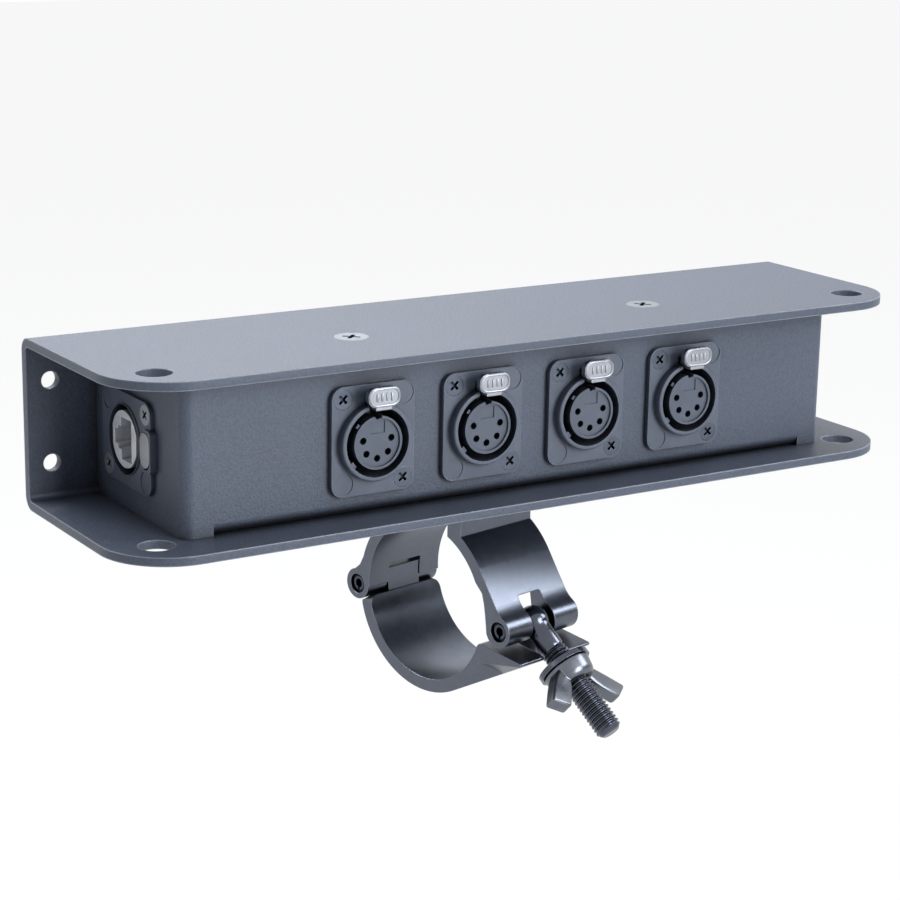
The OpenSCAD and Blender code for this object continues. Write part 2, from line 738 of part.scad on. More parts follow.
module port_jack() {
    color([0.8, 0.81, 0.83]) at_port() difference() {
        union() {
            translate([0, barrel_l - web_t, 0]) rotate([90, 0, 0]) linear_extrude(barrel_l - web_t + jack_front)
                intersection() {
                    circle(d = carrier_w);
                    square([carrier_w, carrier_h], center = true);
                }
            translate([0, barrel_l, 0]) rotate([90, 0, 0]) cylinder(h = web_t, d = ring_bore - 2 * fit_clear);
        }
        translate([0, jack_deep - jack_front, jack_lift]) rotate([90, 0, 0])
            linear_extrude(jack_deep + cut) jack_opening();
        port_pin_places() translate([-0.35, 2 - jack_front, -0.5]) cube([0.7, barrel_l + jack_front, 1]);
    }
}

// The eight places of the contacts along the jack's long side
module port_pin_places() {
    for (k = [0:7]) translate([(k - 3.5) * pin_step, 0, jack_lift + jack_h / 2 - 1]) children();
}

module port_contacts() {
    color([0.85, 0.7, 0.35]) at_port() port_pin_places()
        translate([-0.25, 2.2 - jack_front, -0.35]) cube([0.5, barrel_l + jack_front - 2.2 + fit_clear, 0.7]);
}

module port_latch() {
    color([0.85, 0.86, 0.88]) at_port()
        latch(port_tab_w, port_tab_h, port_tab_t, port_tab_up, port_tab_back, port_travel, port_nose);
}

module port_latch_pin() {
    color([0.6, 0.6, 0.62]) at_port() latch_pin();
}

module port_screws() {
    color([0.6, 0.6, 0.62]) at_port() connector_screws(port_flange_t);
}

module port_board() {
    y_front = panel_y + port_back - barrel_d / 2;
    color([0.1, 0.32, 0.18]) in_bracket()
        translate([board_x, y_front, outlet_z - board_h / 2]) cube([board_t, -sheet - 0.4 - y_front, board_h]);
}

module port_terminals() {
    rim = 0.25;
    color([0.15, 0.35, 0.2]) in_bracket() difference() {
        translate([block_x, first_lane - cable_d / 2 - rim, outlet_z - block_h / 2])
            cube([block_d, last_lane - first_lane + cable_d + 2 * rim, block_h]);
        for (n = [1:outlets]) translate([block_x + 2, first_lane + (n - 1) * cable_pitch, outlet_z])
            cylinder(h = block_h, d = 3);
    }
}

// Outline of the saddle in Y and Z, with its front on the left. The front arm leaves its round
// at arm_from, runs straight to arm_to, and a hollow round arm_mid leads it into the boss
module saddle_outline() {
    boss = [-front_pin_out + boss_in, -pin_down];
    down = [-sin(arm_turn), -cos(arm_turn)];
    out = [-cos(arm_turn), sin(arm_turn)];
    arm_from = arm_r * out;
    start = arm_from + arm_hollow * out - boss;
    reach = -start * down - sqrt(pow(start * down, 2) - start * start + pow(boss_r + arm_hollow, 2));
    arm_to = arm_from + reach * down;
    arm_mid = arm_to + arm_hollow * out;
    arm_end = boss + (arm_mid - boss) * boss_r / (boss_r + arm_hollow);
    difference() {
        union() {
            translate([-block_w / 2, 0]) square([block_w, seat_up]);
            difference() {
                circle(arm_r);
                translate([-2 * arm_r, -4 * arm_r - pin_down]) square(4 * arm_r);
            }
            difference() {
                polygon([arm_from * 0.95, arm_from, arm_to, arm_end, boss, [-seat_r - 1.8, 0.8],
                    [-seat_r + 2.5, 8.6]]);
                translate(arm_mid) circle(arm_hollow);
            }
            polygon([[seat_r + 2.1, 0.7], [rear_pin_out + 0.2, 0.3 - pin_down],
                [rear_pin_out + 1.3, boss_r - pin_down - 0.3], [arm_r + 0.6, 4.6], [seat_r + 0.4, seat_r * 0.48]]);
            translate(boss) circle(boss_r);
            translate([rear_pin_out, -pin_down]) circle(boss_r);
        }
        circle(seat_r);
        polygon([[-seat_r * 0.87, seat_r * 0.475], [-seat_r - 0.1, 8.4], [-seat_r - 1, 5.4], [-seat_r - 1.6, 2],
            boss + [boss_r - 0.1, 0], boss + [boss_r - 0.3, -2], [0, -12]]);
    }
}

// A hole along the tube's direction for a rolled pin, with a wide mouth at each side
module pin_hole(y, d) {
    translate([-coupler_w / 2 - cut, y, -pin_down]) rotate([0, 90, 0]) cylinder(h = coupler_w + 2 * cut, d = d);
    for (s = [-1, 1]) translate([s * (coupler_w / 2 - pin_mouth / 2 + cut / 2), y, -pin_down])
        rotate([0, 90, 0]) cylinder(h = pin_mouth + cut, d = pin_mouth_d, center = true);
}

// A slot that opens downward, from one Y to another, with rounded top corners
module saddle_slot(w, y_from, y_to, top, r) {
    h = top + pin_down + boss_r + 10;
    translate([0, y_to, top - h / 2]) rotate([90, 0, 0]) linear_extrude(y_to - y_from) four_round(w, h, r);
}

module clamp_saddle() {
    color([0.1, 0.11, 0.14]) in_coupler() difference() {
        along_x(coupler_w) saddle_outline();
        pin_hole(-front_pin_out, pin_d + 2 * grip_clear);
        pin_hole(rear_pin_out, pin_d + 2 * grip_clear);
        saddle_slot(bolt_slot, -front_pin_out - boss_r - cut, -front_pin_out + 9, 6.7, 0.6);
        saddle_slot(knuckle_gap, rear_pin_out - boss_r - 3, rear_pin_out + boss_r + cut, knuckle_top + 1.4, 0.8);
        translate([-coupler_w / 2 - cut, -mount_flats / 2 - fit_clear, 0])
            cube([coupler_w + 2 * cut, mount_flats + 2 * fit_clear, head_top]);
        translate([0, 0, seat_r]) cylinder(h = seat_up - seat_r + cut, d = mount_d + 4 * screw_clear);
    }
}

// Outline of the jaw in Y and Z, with its lug on the left
module jaw_outline() {
    root = [-jaw_r * sin(lug_slope), -jaw_r * cos(lug_slope)];
    tip_z = root[1] + (lug_out + root[0]) * tan(lug_slope);
    peak = [[-seat_r + 1.4, -8.2], [-seat_r + 1, -7.6], [-seat_r + 0.4, -7.35], [-seat_r - 0.3, -7.32]];
    difference() {
        union() {
            circle(jaw_r);
            polygon([root, [-lug_out + 0.3, tip_z - 0.16], [-lug_out, tip_z + 0.2], [-lug_out, -lug_down - 0.2],
                [-lug_out + 0.3, -lug_down], [-seat_r, -7], [0, -seat_r]]);
        }
        circle(seat_r);
        polygon(concat([[2 * jaw_r, 3 * jaw_r], [2 * jaw_r, -pin_down - 2.8], [0, -pin_down - 2.8]],
            [[0, peak[0][1]]], peak,
            [[-lug_out + 0.3, -lug_down], [-2 * jaw_r, -lug_down - 1], [-2 * jaw_r, 3 * jaw_r]]));
    }
}

// A half space beyond a plane through the X axis's own Y line, tilted from the side face
module beyond(lean) {
    rotate([0, lean, 0]) translate([0, -40, -40]) cube([40, 80, 80]);
}

// The two bevels that narrow the lug's underside at one side face
module lug_bevel() {
    translate([coupler_w / 2, -24, -13.2]) intersection() {
        rotate([180 - 10.4, 0, 0]) beyond(-50);
        rotate([-53, 0, 0]) beyond(38);
    }
}

module clamp_jaw() {
    color([0.1, 0.11, 0.14]) in_coupler() difference() {
        union() {
            difference() {
                intersection() {
                    along_x(coupler_w) jaw_outline();
                    union() {
                        translate([-coupler_w / 2 - cut, -2 * jaw_r, -2 * jaw_r])
                            cube([coupler_w + 2 * cut, 2 * jaw_r, 3 * jaw_r]);
                        translate([0, 2 * jaw_r, -pin_down - 2.8 - jaw_r]) rotate([90, 0, 0])
                            linear_extrude(2 * jaw_r + cut) four_round(coupler_w, 2 * jaw_r, 3.2);
                    }
                }
                translate([-coupler_w, rear_pin_out, -pin_down]) rotate([0, 90, 0])
                    cylinder(h = 2 * coupler_w, r = boss_r + 0.4);
            }
            along_x(knuckle_gap - 2 * side_gap) difference() {
                union() {
                    translate([rear_pin_out, -pin_down]) circle(boss_r - 0.2);
                    translate([seat_r, -pin_down]) square([rear_pin_out - seat_r, knuckle_top + pin_down]);
                    intersection() {
                        circle(jaw_r);
                        translate([10, -16]) square([40, 16 - pin_down]);
                    }
                }
                circle(seat_r + 0.3);
            }
        }
        pin_hole(rear_pin_out, pin_d + 2 * run_clear);
        translate([0, 0, -3 * jaw_wall - lug_down]) linear_extrude(5 * jaw_wall) {
            translate([0, -lug_out / 2 - lug_slot_in / 2 - 5]) four_round(lug_slot, lug_out - lug_slot_in + 10, 2.6);
            polygon([[-lug_mouth / 2, -lug_out - cut], [lug_mouth / 2, -lug_out - cut], [lug_mouth / 2, -lug_out + 0.2],
                [lug_slot / 2, -lug_out + 1.6], [-lug_slot / 2, -lug_out + 1.6], [-lug_mouth / 2, -lug_out + 0.2]]);
        }
        lug_bevel();
        mirror([1, 0, 0]) lug_bevel();
    }
}

// A rolled pin with its slit turned down
module rolled_pin(y) {
    in_coupler() translate([-pin_l / 2, y, -pin_down]) rotate([0, 90, 0]) difference() {
        cylinder(h = pin_l, d = pin_d);
        translate([0, 0, -cut]) cylinder(h = pin_l + 2 * cut, d = pin_d - 2 * pin_wall);
        translate([0, -0.4, -cut]) cube([pin_d, 0.8, pin_l + 2 * cut]);
    }
}

module rear_pin() {
    color([0.3, 0.31, 0.34]) rolled_pin(rear_pin_out);
}

module front_pin() {
    color([0.3, 0.31, 0.34]) rolled_pin(-front_pin_out);
}

// Moves a piece to the front pin, with Z out along the swing bolt
module along_bolt() {
    in_coupler() translate([0, -front_pin_out, -pin_down]) rotate([180 - bolt_lean, 0, 0]) children();
}

// Outline of a threaded rod from its middle line out: one ridge for each pitch
module thread_outline(d, from, to, pitch, deep) {
    ridges = floor((to - from - 1) / pitch);
    polygon(concat([[0, from], [d / 2 - deep, from]],
        [for (k = [0:ridges - 1]) for (p = [[deep, 0.15], [0.05, 0.45], [0.05, 0.65], [deep, 0.95]])
            [d / 2 - p[0], from + (k + p[1]) * pitch]],
        [[d / 2 - deep, to - 0.6], [d / 2 - deep - 0.6, to], [0, to]]));
}

module swing_bolt() {
    flat_w = bolt_slot - 2 * side_gap - 0.4;
    color([0.28, 0.29, 0.33]) along_bolt() difference() {
        union() {
            intersection() {
                sphere(eye_r);
                cube([flat_w, 4 * eye_r, 4 * eye_r], center = true);
            }
            translate([0, 0, eye_r / 2]) cylinder(h = thread_start - eye_r / 2 + 0.5, d = bolt_d - thread_deep);
            rotate_extrude() thread_outline(bolt_d, thread_start, bolt_l, thread_pitch, thread_deep);
        }
        rotate([0, 90, 0]) cylinder(h = 2 * bolt_d, d = pin_d + 2 * run_clear, center = true);
    }
}

module bolt_washer() {
    color([0.35, 0.36, 0.4]) along_bolt() translate([0, 0, washer_at]) difference() {
        cylinder(h = washer_t, d = washer_d);
        translate([0, 0, -cut]) cylinder(h = washer_t + 2 * cut, d = bolt_d + 4 * screw_clear);
    }
}

// One wing in outline, out along X and up along Y
module wing_outline() {
    polygon([[hub_d / 2 - 2.5, 0.4], [hub_d / 2 + 0.6, 0.4], [hub_d / 2 + 2, 1.3], [wing_r, wing_h - 4.2],
        [wing_r + 0.2, wing_h - 3.4], [wing_r - 0.2, wing_h - 2.6], [wing_r - 4.8, wing_h], [wing_r - 5.6, wing_h],
        [wing_r - 6.5, wing_h - 0.7], [hub_d / 2 - 1.5, hub_h + 0.5], [hub_d / 2 - 2.5, hub_h - 0.9]]);
}

module wing_nut() {
    r = hub_d / 2;
    color([0.33, 0.34, 0.38]) along_bolt() translate([0, 0, nut_base]) rotate([0, 0, wing_turn]) difference() {
        union() {
            rotate_extrude() polygon([[0, 0], [r, 0], [r, 0.6], [r - 0.25, 2.2], [r - 0.6, hub_h - 1.8],
                [r - 1.2, hub_h - 0.9], [r - 2.3, hub_h], [0, hub_h]]);
            for (s = [0, 180]) rotate([90, 0, s]) linear_extrude(wing_t, center = true) wing_outline();
        }
        translate([0, 0, -cut]) cylinder(h = hub_h + 2 * cut, d = bolt_d + 2 * screw_clear);
        translate([0, 0, hub_h]) cylinder(h = wing_h, r = r - 2.4);
    }
}

// A hexagon across its flats, which face the Y directions
module hexagon(h, flats) {
    cylinder(h = h, d = flats * 2 / sqrt(3), $fn = 6);
}

module mounting_bolt() {
    color([0.6, 0.61, 0.63]) in_coupler() {
        translate([0, 0, head_under]) hexagon(mount_head_h, mount_flats - 2 * fit_clear);
        rotate_extrude() thread_outline(mount_d, head_top - 0.5, bolt_top, mount_pitch, 0.9);
        translate([0, 0, head_top - 0.5]) cylinder(h = 4, d = mount_d);
    }
}

// A flat ring with the mounting bolt's clearance hole
module ring_washer(t, d) {
    difference() {
        cylinder(h = t, d = d);
        translate([0, 0, -cut]) cylinder(h = t + 2 * cut, d = mount_d + 4 * screw_clear);
    }
}

module mounting_washer() {
    color([0.7, 0.71, 0.72]) translate([0, 0, seat_up + sheet]) ring_washer(flat_t, mount_washer_d);
}

module mounting_spring_washer() {
    color([0.5, 0.5, 0.52]) translate([0, 0, seat_up + sheet + flat_t]) difference() {
        ring_washer(lock_t, mount_washer_d - 2.6);
        translate([mount_d / 2 - cut, -0.6, -cut]) cube([mount_washer_d, 1.2, lock_t + 2 * cut]);
    }
}

module mounting_nut() {
    color([0.6, 0.61, 0.63]) translate([0, 0, nut_under]) rotate([0, 0, swivel]) difference() {
        hexagon(mount_nut_h, mount_flats);
        translate([0, 0, -cut]) cylinder(h = mount_nut_h + 2 * cut, d = mount_d + 2 * screw_clear);
    }
}

channel_bracket();
connector_box();
cover_screws_top();
cover_screws_bottom();
press_nuts();
outlet_shell(1);  // outlet_1_shell
outlet_insert(1);  // outlet_1_insert
outlet_contacts(1);  // outlet_1_contacts
outlet_latch(1);  // outlet_1_latch
outlet_latch_pin(1);  // outlet_1_latch_pin
outlet_screws(1);  // outlet_1_screws
outlet_cable(1);  // outlet_1_cable
outlet_shell(2);  // outlet_2_shell
outlet_insert(2);  // outlet_2_insert
outlet_contacts(2);  // outlet_2_contacts
outlet_latch(2);  // outlet_2_latch
outlet_latch_pin(2);  // outlet_2_latch_pin
outlet_screws(2);  // outlet_2_screws
outlet_cable(2);  // outlet_2_cable
outlet_shell(3);  // outlet_3_shell
outlet_insert(3);  // outlet_3_insert
outlet_contacts(3);  // outlet_3_contacts
outlet_latch(3);  // outlet_3_latch
outlet_latch_pin(3);  // outlet_3_latch_pin
outlet_screws(3);  // outlet_3_screws
outlet_cable(3);  // outlet_3_cable
outlet_shell(4);  // outlet_4_shell
outlet_insert(4);  // outlet_4_insert
outlet_contacts(4);  // outlet_4_contacts
outlet_latch(4);  // outlet_4_latch
outlet_latch_pin(4);  // outlet_4_latch_pin
outlet_screws(4);  // outlet_4_screws
outlet_cable(4);  // outlet_4_cable
port_shell();
port_jack();
port_contacts();
port_latch();
port_latch_pin();
port_screws();
port_board();
port_terminals();
clamp_saddle();
clamp_jaw();
rear_pin();
front_pin();
swing_bolt();
bolt_washer();
wing_nut();
mounting_bolt();
mounting_washer();
mounting_spring_washer();
mounting_nut();
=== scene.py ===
# %% [markdown]
# # A cable breakout box, dressed in Blender
# The object is a short steel channel with a sheet-metal box inside it. Four round sockets look
# out of the front, a data port looks out of the left end, and a half coupler hangs underneath.
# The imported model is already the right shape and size. This lesson gives it its finishes, a few
# finer pieces, and the camera and light of a product photograph.

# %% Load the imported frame
import json
import math

import bmesh
import bpy
from mathutils import Matrix, Vector


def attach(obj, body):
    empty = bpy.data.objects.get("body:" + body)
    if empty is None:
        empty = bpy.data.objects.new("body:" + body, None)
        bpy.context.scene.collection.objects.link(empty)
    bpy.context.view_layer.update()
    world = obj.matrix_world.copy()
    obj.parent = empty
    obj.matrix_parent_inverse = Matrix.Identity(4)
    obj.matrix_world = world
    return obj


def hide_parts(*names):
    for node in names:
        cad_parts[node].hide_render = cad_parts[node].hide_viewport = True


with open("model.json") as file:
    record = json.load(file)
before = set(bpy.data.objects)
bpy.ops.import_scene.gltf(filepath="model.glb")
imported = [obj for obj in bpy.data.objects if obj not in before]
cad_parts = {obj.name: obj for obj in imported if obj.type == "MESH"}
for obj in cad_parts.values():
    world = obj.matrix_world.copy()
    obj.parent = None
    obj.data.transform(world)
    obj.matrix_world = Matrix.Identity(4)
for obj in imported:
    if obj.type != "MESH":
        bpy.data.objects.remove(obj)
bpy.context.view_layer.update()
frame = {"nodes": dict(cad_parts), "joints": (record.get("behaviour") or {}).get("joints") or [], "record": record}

MM = 0.001
nodes = frame["nodes"]
joints = {joint["name"]: joint for joint in frame["joints"]}
print("pieces in the frame:", len(nodes), "joints:", len(joints))

# %% [markdown]
# ## Shader maths that reads like arithmetic
# A finish is worked out from values that change over the surface, such as how high the paint
# stands at each point. Wiring every sum by hand in the node editor works, but it hides the idea.
# So a small class wraps a node's output, and `+`, `-` and `*` on it add the Math nodes.

# %% The value class
def feed(slot, value):
    """Links a Field to an input, or types a plain value into it."""
    if isinstance(value, Field):
        slot.id_data.links.new(value.socket, slot)
    else:
        slot.default_value = value


def math_node(tree, operation, *values):
    """Adds one Math node and returns its output as a Field."""
    made = tree.nodes.new("ShaderNodeMath")
    made.operation = operation
    for slot, value in zip(made.inputs, values):
        feed(slot, value)
    return Field(made.outputs[0])


class Field:
    """One output of one node: mostly a value that changes over the surface."""

    def __init__(self, socket):
        self.socket = socket
        self.tree = socket.id_data

    def __add__(self, other):
        return math_node(self.tree, "ADD", self, other)

    def __sub__(self, other):
        return math_node(self.tree, "SUBTRACT", self, other)

    def __rsub__(self, other):
        return math_node(self.tree, "SUBTRACT", other, self)

    def __mul__(self, other):
        return math_node(self.tree, "MULTIPLY", self, other)

    __radd__ = __add__
    __rmul__ = __mul__

    def larger(self, other):
        """The larger of two values."""
        return math_node(self.tree, "MAXIMUM", self, other)


print("a Field adds, subtracts, multiplies and takes the larger")

# %% [markdown]
# ## One way to add any other node
# Noise, bumps and mixes are nodes too, and each could be set up in lines of its own. Here one
# method does it for all of them, in a fixed order: the node, then its settings, then its
# inputs. The order matters, because a setting can change which inputs a node has.

# %% The wiring class
# A Mix node keeps its inputs for numbers, vectors and colours side by side. These are the
# places of its factor and of its two colours, and of the mixed colour among its outputs.
MIX_FACTOR = 0
MIX_FIRST = 6
MIX_SECOND = 7
MIX_COLOUR = 2


def colour4(value):
    """A Field as it is, or a plain colour with its alpha added."""
    return value if isinstance(value, Field) else (*value, 1.0)


class Wiring:
    """A tree of nodes and the method that adds to it."""

    def __init__(self, tree):
        self.tree = tree

    def node(self, kind, settings=None, values=None, out=0):
        """Adds a node: its settings first, then the values or links of its inputs."""
        made = self.tree.nodes.new(kind)
        for name, value in (settings or {}).items():
            setattr(made, name, value)
        for name, value in (values or {}).items():
            feed(made.inputs[name], value)
        return Field(made.outputs[out])

    def mix(self, mask, first, second):
        """Goes from the first colour to the second as the mask goes from 0 to 1."""
        values = {MIX_FACTOR: mask, MIX_FIRST: colour4(first), MIX_SECOND: colour4(second)}
        return self.node("ShaderNodeMix", {"data_type": "RGBA"}, values, out=MIX_COLOUR)

    def between(self, value, low, high):
        """0 below low, 1 above high, and smooth between."""
        return self.node("ShaderNodeMapRange", {"interpolation_type": "SMOOTHSTEP"},
                         {"Value": value, "From Min": low, "From Max": high})


print("one method adds every node that isn't plain arithmetic")

# %% [markdown]
# ## What all the finishes share
# Every finish here shows three things: a grain, edges that are a little round and pale, and
# corners with painted shade. On paint and plastic the pale edges are partly wear and partly a
# painted highlight; on metal they are a painted highlight. The grain is noise in the piece's own
# coordinates, so it needs no unwrapping and keeps one size everywhere. A Bevel node gives the
# look of round edges without changing the mesh, and where it turns the surface most, there is an
# edge. An Ambient Occlusion node finds the corners, where other faces stand close, and there the
# colour is painted dark as shade. Neither asks where the camera is.

# %% The finish class
BEVEL_SAMPLES = 6
CORNER_SAMPLES = 8
EDGE_STARTS = 0.015
EDGE_FULL = 0.22


class Finish(Wiring):
    """One material: its shader, its place on the surface, and the nodes that feed them."""

    def __init__(self, name, colour, roughness, metallic=0.0):
        self.material = bpy.data.materials.new(name)
        self.material.use_nodes = True
        super().__init__(self.material.node_tree)
        self.shader = self.tree.nodes["Principled BSDF"]
        self.place = self.node("ShaderNodeTexCoord", out="Object")
        self.set(roughness=roughness, metallic=metallic, base_color=colour4(colour))

    def set(self, **values):
        """Sets the shader's inputs: base_color=..., roughness=..., normal=..."""
        for name, value in values.items():
            feed(self.shader.inputs[name.replace("_", " ").title()], value)

    def noise(self, per_mm, detail, rough, squeeze=None):
        """Cloudy noise from 0 to 1, with so many features to a millimetre."""
        where = self.place
        if squeeze:
            where = self.node("ShaderNodeMapping", values={"Vector": self.place, "Scale": squeeze})
        return self.node("ShaderNodeTexNoise", values={"Vector": where, "Scale": per_mm / MM,
                                                       "Detail": detail, "Roughness": rough})

    def rounded(self, radius):
        """The surface's direction as if its edges had this radius, in millimetres."""
        return self.node("ShaderNodeBevel", {"samples": BEVEL_SAMPLES}, {"Radius": radius * MM})

    def edges(self, radius):
        """1 on the sharp edges and 0 on the flats."""
        flat = self.node("ShaderNodeNewGeometry", out="True Normal")
        alike = self.node("ShaderNodeVectorMath", {"operation": "DOT_PRODUCT"},
                          {0: flat, 1: self.rounded(radius)}, out="Value")
        return self.between(1.0 - alike, EDGE_STARTS, EDGE_FULL)

    def painted_corner_shade(self, body, dark, reach, low, high):
        """Painted shade: the body colour, but the dark one where other faces stand within reach."""
        openness = self.node("ShaderNodeAmbientOcclusion", {"samples": CORNER_SAMPLES},
                             {"Distance": reach * MM}, out="AO")
        return self.mix(self.between(openness, low, high), dark, body)

    def relief(self, height, depth, edge_radius):
        """Feeds the shader's Normal with a bump, depth in millimetres, over rounded edges."""
        values = {"Height": height, "Distance": depth * MM, "Strength": 1.0,
                  "Normal": self.rounded(edge_radius)}
        self.set(normal=self.node("ShaderNodeBump", values=values))


def scaled(colour, by):
    """The colour made darker or lighter, each part no more than 1."""
    return tuple(min(1.0, part * by) for part in colour)


finishes = {}
print("the finishes share grain, round edges and dark corners")

# %% [markdown]
# ## Powder coat
# Powder coat is sprayed as dry paint and baked, so it keeps a fine pebbled skin. Up close that
# skin breaks the reflections into grains, a few specks catch the light, and on sharp edges the
# paint is thin and rubs pale. Here the pale edges also carry a painted highlight. A photograph of
# paint could be laid over the faces, but it would need unwrapping and show one surface's wear on
# all. Noise gives the grain, the slow clouds and the specks, and the pale edges, wear and painted
# highlight together, are kept to the edges by multiplying them with the edge mask.

# %% Powder coats for the bracket and the box
# The pale edge colour: partly wear, partly a painted highlight.
WEAR_AND_HIGHLIGHT_PALE = (0.4, 0.42, 0.46)
PEBBLE_DEPTH = 0.035
CORNER_SHADE = 0.12


def powder_coat(name, colour, roughness, pebble, edge_wear_and_highlight, edge_radius):
    """Baked paint with pebbles to a millimetre, pale edges of wear and painted highlight from 0 to 1, edge_radius
    in millimetres.
    """
    finish = Finish(name, colour, roughness)
    grain = finish.between(finish.noise(pebble, detail=2.0, rough=0.6), low=0.3, high=0.7)
    cloud = finish.noise(0.03, detail=3.0, rough=0.6)
    speck = finish.between(finish.noise(1.1, detail=2.0, rough=0.5), low=0.74, high=0.8)
    patchy = finish.noise(0.5, detail=4.0, rough=0.65) + 0.25
    wear_and_highlight = finish.between(finish.edges(edge_radius) * patchy, low=0.2, high=0.6) * edge_wear_and_highlight
    # Clouds and pebbles shift the tone both ways, a few specks shine, and edges go pale,
    # partly from wear and partly as a painted highlight.
    tone = cloud * 0.4 + grain * 0.5
    body = finish.mix(tone, scaled(colour, 0.72), scaled(colour, 1.4))
    body = finish.mix(speck * 0.25, body, scaled(colour, 4.0))
    body = finish.mix(wear_and_highlight, body, WEAR_AND_HIGHLIGHT_PALE)
    # Painted shade: the colour goes dark where other faces stand close.
    body = finish.painted_corner_shade(body, scaled(colour, CORNER_SHADE), reach=7.0, low=0.3, high=0.85)
    finish.set(base_color=body)
    # The two noises also spread the gloss, round the roughness that was asked for.
    finish.set(roughness=grain * 0.16 + cloud * 0.12 + (roughness - 0.14) - wear_and_highlight * 0.1)
    finish.relief(grain, PEBBLE_DEPTH, edge_radius)
    return finish


POWDER_COATS = {
    "bracket_coat": dict(colour=(0.06, 0.072, 0.1), roughness=0.46, pebble=1.5, edge_wear_and_highlight=0.9, edge_radius=0.8),
    "box_coat": dict(colour=(0.062, 0.075, 0.105), roughness=0.44, pebble=1.7, edge_wear_and_highlight=0.5, edge_radius=0.5),
}
for name, recipe in POWDER_COATS.items():
    finishes[name] = powder_coat(name, **recipe)
print("powder coats:", ", ".join(POWDER_COATS))

# %% [markdown]
# ## Painted castings, moulded plastic and rubber
# The socket shells are cast and painted, the inserts are moulded plastic and the cable jackets
# are rubber. Each could have a recipe of its own, but they differ in degree rather than in
# kind: less grain than powder coat, a soft sheen that clouds over where hands and moulds have
# polished it, and pale edges on the pieces that plugs wear against. Those pale edges are partly
# wear and partly a painted highlight, and the corners get painted shade.

# %% Shells, inserts, jackets and the green parts inside
MOULDED_EDGE = 0.15
# How much paler the edges go: partly wear, partly a painted highlight.
WEAR_AND_HIGHLIGHT_BY = 7.0


def moulded(name, colour, roughness, grains, depth, edge_wear_and_highlight=0.0):
    """A smooth skin: grains to a millimetre, depth in millimetres, pale edges of wear and painted highlight from 0
    to 1.
    """
    finish = Finish(name, colour, roughness)
    grain = finish.noise(grains, detail=2.0, rough=0.5)
    cloud = finish.noise(0.12, detail=3.0, rough=0.6)
    patchy = finish.noise(0.9, detail=3.0, rough=0.6)
    wear_and_highlight = finish.between(finish.edges(MOULDED_EDGE) * patchy, low=0.25, high=0.6) * edge_wear_and_highlight
    body = finish.mix(cloud, scaled(colour, 0.75), scaled(colour, 1.3))
    # Pale edges: partly wear, partly a painted highlight.
    body = finish.mix(wear_and_highlight, body, scaled(colour, WEAR_AND_HIGHLIGHT_BY))
    # Painted shade: the colour goes dark where other faces stand close.
    body = finish.painted_corner_shade(body, scaled(colour, CORNER_SHADE), reach=4.0, low=0.25, high=0.8)
    finish.set(base_color=body)
    finish.set(roughness=cloud * 0.14 + grain * 0.08 + (roughness - 0.11))
    finish.relief(grain, depth, MOULDED_EDGE)
    return finish


MOULDED = {
    "connector_black": dict(colour=(0.082, 0.095, 0.124), roughness=0.38, grains=4.0, depth=0.008, edge_wear_and_highlight=0.5),
    "insert_black": dict(colour=(0.065, 0.077, 0.104), roughness=0.46, grains=5.0, depth=0.006, edge_wear_and_highlight=0.3),
    "cable_black": dict(colour=(0.012, 0.012, 0.014), roughness=0.6, grains=2.0, depth=0.02),
    "board_green": dict(colour=(0.02, 0.12, 0.055), roughness=0.35, grains=1.2, depth=0.01),
    "terminal_green": dict(colour=(0.03, 0.16, 0.07), roughness=0.45, grains=2.5, depth=0.01),
}
for name, recipe in MOULDED.items():
    finishes[name] = moulded(name, **recipe)
print("moulded finishes:", ", ".join(MOULDED))

# %% [markdown]
# ## Metals
# Bare metal shows its making: plating is bright but carries hair scratches, rolled steel is
# streaked, and black chrome is a mirror that has gone smoky. Scratches could be drawn as lines,
# but noise that is squeezed hard along one axis gives fine streaks across that axis, and no two
# are alike. They change the roughness and the relief rather than the colour, as real ones do.

# %% The recipe for metal
METAL_CORNER_SHADE = 0.15
# How much brighter the edges are painted, as a highlight.
PAINTED_EDGE_HIGHLIGHT = 2.2


def plated(name, colour, roughness, scratch=0.5, squeeze=(1.0, 1.0, 14.0), edge_radius=0.12, depth=0.004,
           metallic=1.0):
    """Streaked metal with painted edge highlights and painted corner shade: scratch from 0 to 1, edge_radius and
    depth in millimetres.
    """
    finish = Finish(name, colour, roughness, metallic)
    lines = finish.noise(0.35, detail=3.0, rough=0.7, squeeze=squeeze)
    cloud = finish.noise(0.35, detail=3.0, rough=0.6)
    body = finish.mix(cloud, scaled(colour, 0.82), scaled(colour, 1.1))
    # Painted highlight: the edges get a brighter copy of the colour.
    body = finish.mix(finish.edges(edge_radius) * 0.8, body, scaled(colour, PAINTED_EDGE_HIGHLIGHT))
    # Painted shade: the colour goes dark where other faces stand close.
    body = finish.painted_corner_shade(body, scaled(colour, METAL_CORNER_SHADE), reach=3.0, low=0.2, high=0.75)
    finish.set(base_color=body)
    finish.set(roughness=lines * scratch * 0.3 + cloud * 0.12 + (roughness - 0.1))
    finish.relief(lines + cloud * 0.5, depth, edge_radius)
    return finish


print("metals have streaks, clouds and bright edges")

# %% [markdown]
# Screws, tabs and contacts on one object are rarely the same grey, since each is plated in a
# batch of its own. One shared metal would be quicker, but it would look like a toy. So each slot
# has its own numbers, set against the photograph. The jack is frosted and looks paler than clean
# metal, so its shader stands halfway between metal and a plain surface.

